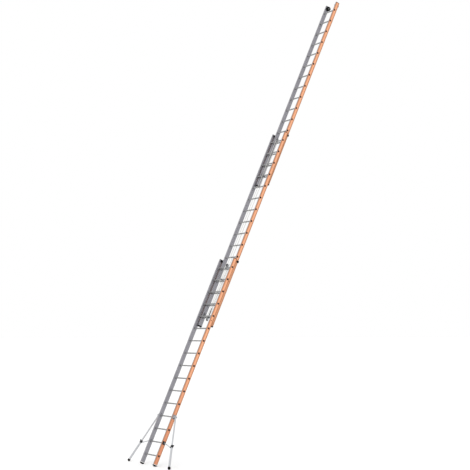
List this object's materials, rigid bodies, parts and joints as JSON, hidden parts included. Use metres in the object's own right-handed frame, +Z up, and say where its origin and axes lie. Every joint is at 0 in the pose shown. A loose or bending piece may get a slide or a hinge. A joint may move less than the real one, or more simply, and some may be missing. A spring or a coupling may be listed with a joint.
{
  "type": "extension ladder",
  "caption": "Rope-operated sliding ladder in nested sections with round rungs, fold-out side legs, rung locks, pulleys and wall wheels.",
  "frame": {"origin": "on the ground, midway between the two base shoes, below the centre of their rounded soles", "axes": "+Z up, +Y horizontally towards the wall the ladder leans on, +X to the climber's right"},
  "size_m": [1.97, 4.6323, 10.0699],
  "materials": {
    "orange_stile": "satin film on the outer faces",
    "rung_aluminium": "satin",
    "leg_aluminium": "satin",
    "zinc_steel": "satin",
    "dark_casting": "satin",
    "black_rubber": "matte",
    "black_plastic": "matte",
    "rope_fibre": "matte"
  },
  "bodies": {
    "base": {"base_stile_left": "orange_stile", "base_stile_right": "orange_stile", "base_rungs": "rung_aluminium", "base_shoes": "black_rubber", "base_end_caps": "black_plastic", "base_guides": "black_plastic", "base_bolts": "dark_casting", "base_pulley_bracket": "zinc_steel", "base_pulley_axle": "zinc_steel", "base_rope_clamps": "zinc_steel", "haul_rope_turn": "rope_fibre", "outrigger_top_brackets": "zinc_steel", "outrigger_bottom_brackets": "dark_casting", "outrigger_hinge_pins": "zinc_steel"},
    "mid": {"mid_stile_left": "orange_stile", "mid_stile_right": "orange_stile", "mid_rungs": "rung_aluminium", "mid_end_caps": "black_plastic", "mid_guides": "black_plastic", "mid_bolts": "zinc_steel", "mid_pulley_brackets": "zinc_steel", "mid_pulley_axles": "zinc_steel", "mid_lock_brackets": "zinc_steel", "mid_rope_clamp": "zinc_steel", "loop_rope_turns": "rope_fibre", "haul_rope_run": "rope_fibre", "loop_rope_front_low": "rope_fibre", "loop_rope_front_high": "rope_fibre"},
    "top": {"top_stile_left": "orange_stile", "top_stile_right": "orange_stile", "top_rungs": "rung_aluminium", "top_end_caps": "black_plastic", "top_guides": "black_plastic", "top_bolts": "zinc_steel", "top_lock_brackets": "zinc_steel", "top_rope_clamp": "zinc_steel", "wheel_brackets": "zinc_steel", "wheel_axles": "zinc_steel", "loop_rope_back_low": "rope_fibre", "loop_rope_back_high": "rope_fibre"},
    "base_pulley": {"base_pulley": "black_plastic"},
    "mid_top_pulley": {"mid_top_pulley": "black_plastic"},
    "mid_bottom_pulley": {"mid_bottom_pulley": "black_plastic"},
    "mid_lock": {"mid_lock": "dark_casting"},
    "top_lock": {"top_lock": "dark_casting"},
    "wall_wheel_left": {"wall_wheel_left": "black_rubber"},
    "wall_wheel_right": {"wall_wheel_right": "black_rubber"},
    "outrigger_leg_left": {"outrigger_inner_tube_left": "leg_aluminium"},
    "outrigger_foot_left": {"outrigger_outer_tube_left": "leg_aluminium", "outrigger_foot_left": "black_rubber"},
    "outrigger_collar_left": {"outrigger_collar_left": "dark_casting", "outrigger_knob_left": "black_plastic"},
    "outrigger_link_left": {"outrigger_link_left": "leg_aluminium"},
    "outrigger_leg_right": {"outrigger_inner_tube_right": "leg_aluminium"},
    "outrigger_foot_right": {"outrigger_outer_tube_right": "leg_aluminium", "outrigger_foot_right": "black_rubber"},
    "outrigger_collar_right": {"outrigger_collar_right": "dark_casting", "outrigger_knob_right": "black_plastic"},
    "outrigger_link_right": {"outrigger_link_right": "leg_aluminium"}
  },
  "joints": [
    {"name": "mid_slide", "type": "slide", "parent": "base", "child": "mid", "axis": [0, 0.4035, 0.915], "range_m": [-3.03, 0], "deforming": ["haul_rope_run", "loop_rope_front_low", "loop_rope_front_high"]},
    {"name": "top_slide", "type": "slide", "parent": "mid", "child": "top", "axis": [0, 0.4035, 0.915], "range_m": [-3.03, 0], "deforming": ["loop_rope_back_low", "loop_rope_back_high"]},
    {"name": "base_pulley_spin", "type": "hinge", "parent": "base", "child": "base_pulley", "pos_m": [0.06, 1.77724, 4.09821], "axis": [1, 0, 0], "continuous": true},
    {"name": "mid_top_pulley_spin", "type": "hinge", "parent": "mid", "child": "mid_top_pulley", "pos_m": [0, 3.06185, 6.87823], "axis": [1, 0, 0], "continuous": true},
    {"name": "mid_bottom_pulley_spin", "type": "hinge", "parent": "mid", "child": "mid_bottom_pulley", "pos_m": [0, 1.32821, 2.94756], "axis": [1, 0, 0], "continuous": true},
    {"name": "mid_lock_turn", "type": "hinge", "parent": "mid", "child": "mid_lock", "pos_m": [0, 1.36292, 3.02625], "axis": [1, 0, 0], "range_deg": [0, 110]},
    {"name": "top_lock_turn", "type": "hinge", "parent": "top", "child": "top_lock", "pos_m": [0, 2.75618, 6.06874], "axis": [1, 0, 0], "range_deg": [0, 110]},
    {"name": "wall_wheel_left_spin", "type": "hinge", "parent": "top", "child": "wall_wheel_left", "pos_m": [-0.165, 4.52415, 9.99301], "axis": [1, 0, 0], "continuous": true},
    {"name": "wall_wheel_right_spin", "type": "hinge", "parent": "top", "child": "wall_wheel_right", "pos_m": [0.165, 4.52415, 9.99301], "axis": [1, 0, 0], "continuous": true},
    {"name": "outrigger_hinge_left", "type": "hinge", "parent": "base", "child": "outrigger_leg_left", "pos_m": [-0.395, 0.40354, 0.97496], "axis": [0, 0.915, -0.4035], "range_deg": [-26.47, 0]},
    {"name": "outrigger_telescope_left", "type": "slide", "parent": "outrigger_leg_left", "child": "outrigger_foot_left", "axis": [-0.4767, -0.3548, -0.8043], "range_m": [-0.15, 0]},
    {"name": "outrigger_collar_slide_left", "type": "slide", "parent": "outrigger_leg_left", "child": "outrigger_collar_left", "axis": [-0.4767, -0.3548, -0.8043], "range_m": [0, 0.194]},
    {"name": "outrigger_link_hinge_left", "type": "hinge", "parent": "base", "child": "outrigger_link_left", "pos_m": [-0.365, 0.17756, 0.46258], "axis": [0, 0.915, -0.4035], "range_deg": [-75.8, 0]},
    {"name": "outrigger_hinge_right", "type": "hinge", "parent": "base", "child": "outrigger_leg_right", "pos_m": [0.395, 0.40354, 0.97496], "axis": [0, 0.915, -0.4035], "range_deg": [0, 26.47]},
    {"name": "outrigger_telescope_right", "type": "slide", "parent": "outrigger_leg_right", "child": "outrigger_foot_right", "axis": [0.4767, -0.3548, -0.8043], "range_m": [-0.15, 0]},
    {"name": "outrigger_collar_slide_right", "type": "slide", "parent": "outrigger_leg_right", "child": "outrigger_collar_right", "axis": [0.4767, -0.3548, -0.8043], "range_m": [0, 0.194]},
    {"name": "outrigger_link_hinge_right", "type": "hinge", "parent": "base", "child": "outrigger_link_right", "pos_m": [0.365, 0.17756, 0.46258], "axis": [0, 0.915, -0.4035], "range_deg": [0, 75.8]}
  ],
  "couplings": [
    {"joint": "top_slide", "follows": "mid_slide", "ratio": 1},
    {"joint": "base_pulley_spin", "follows": "mid_slide", "rad_per_m": 33.333},
    {"joint": "mid_top_pulley_spin", "follows": "mid_slide", "rad_per_m": 42.553},
    {"joint": "mid_bottom_pulley_spin", "follows": "mid_slide", "rad_per_m": 42.553},
    {"joint": "outrigger_collar_slide_left", "follows": "outrigger_hinge_left", "m_per_rad": -0.41975},
    {"joint": "outrigger_link_hinge_left", "follows": "outrigger_hinge_left", "ratio": 2.8625},
    {"joint": "outrigger_collar_slide_right", "follows": "outrigger_hinge_right", "m_per_rad": 0.41975},
    {"joint": "outrigger_link_hinge_right", "follows": "outrigger_hinge_right", "ratio": 2.8625}
  ]
}
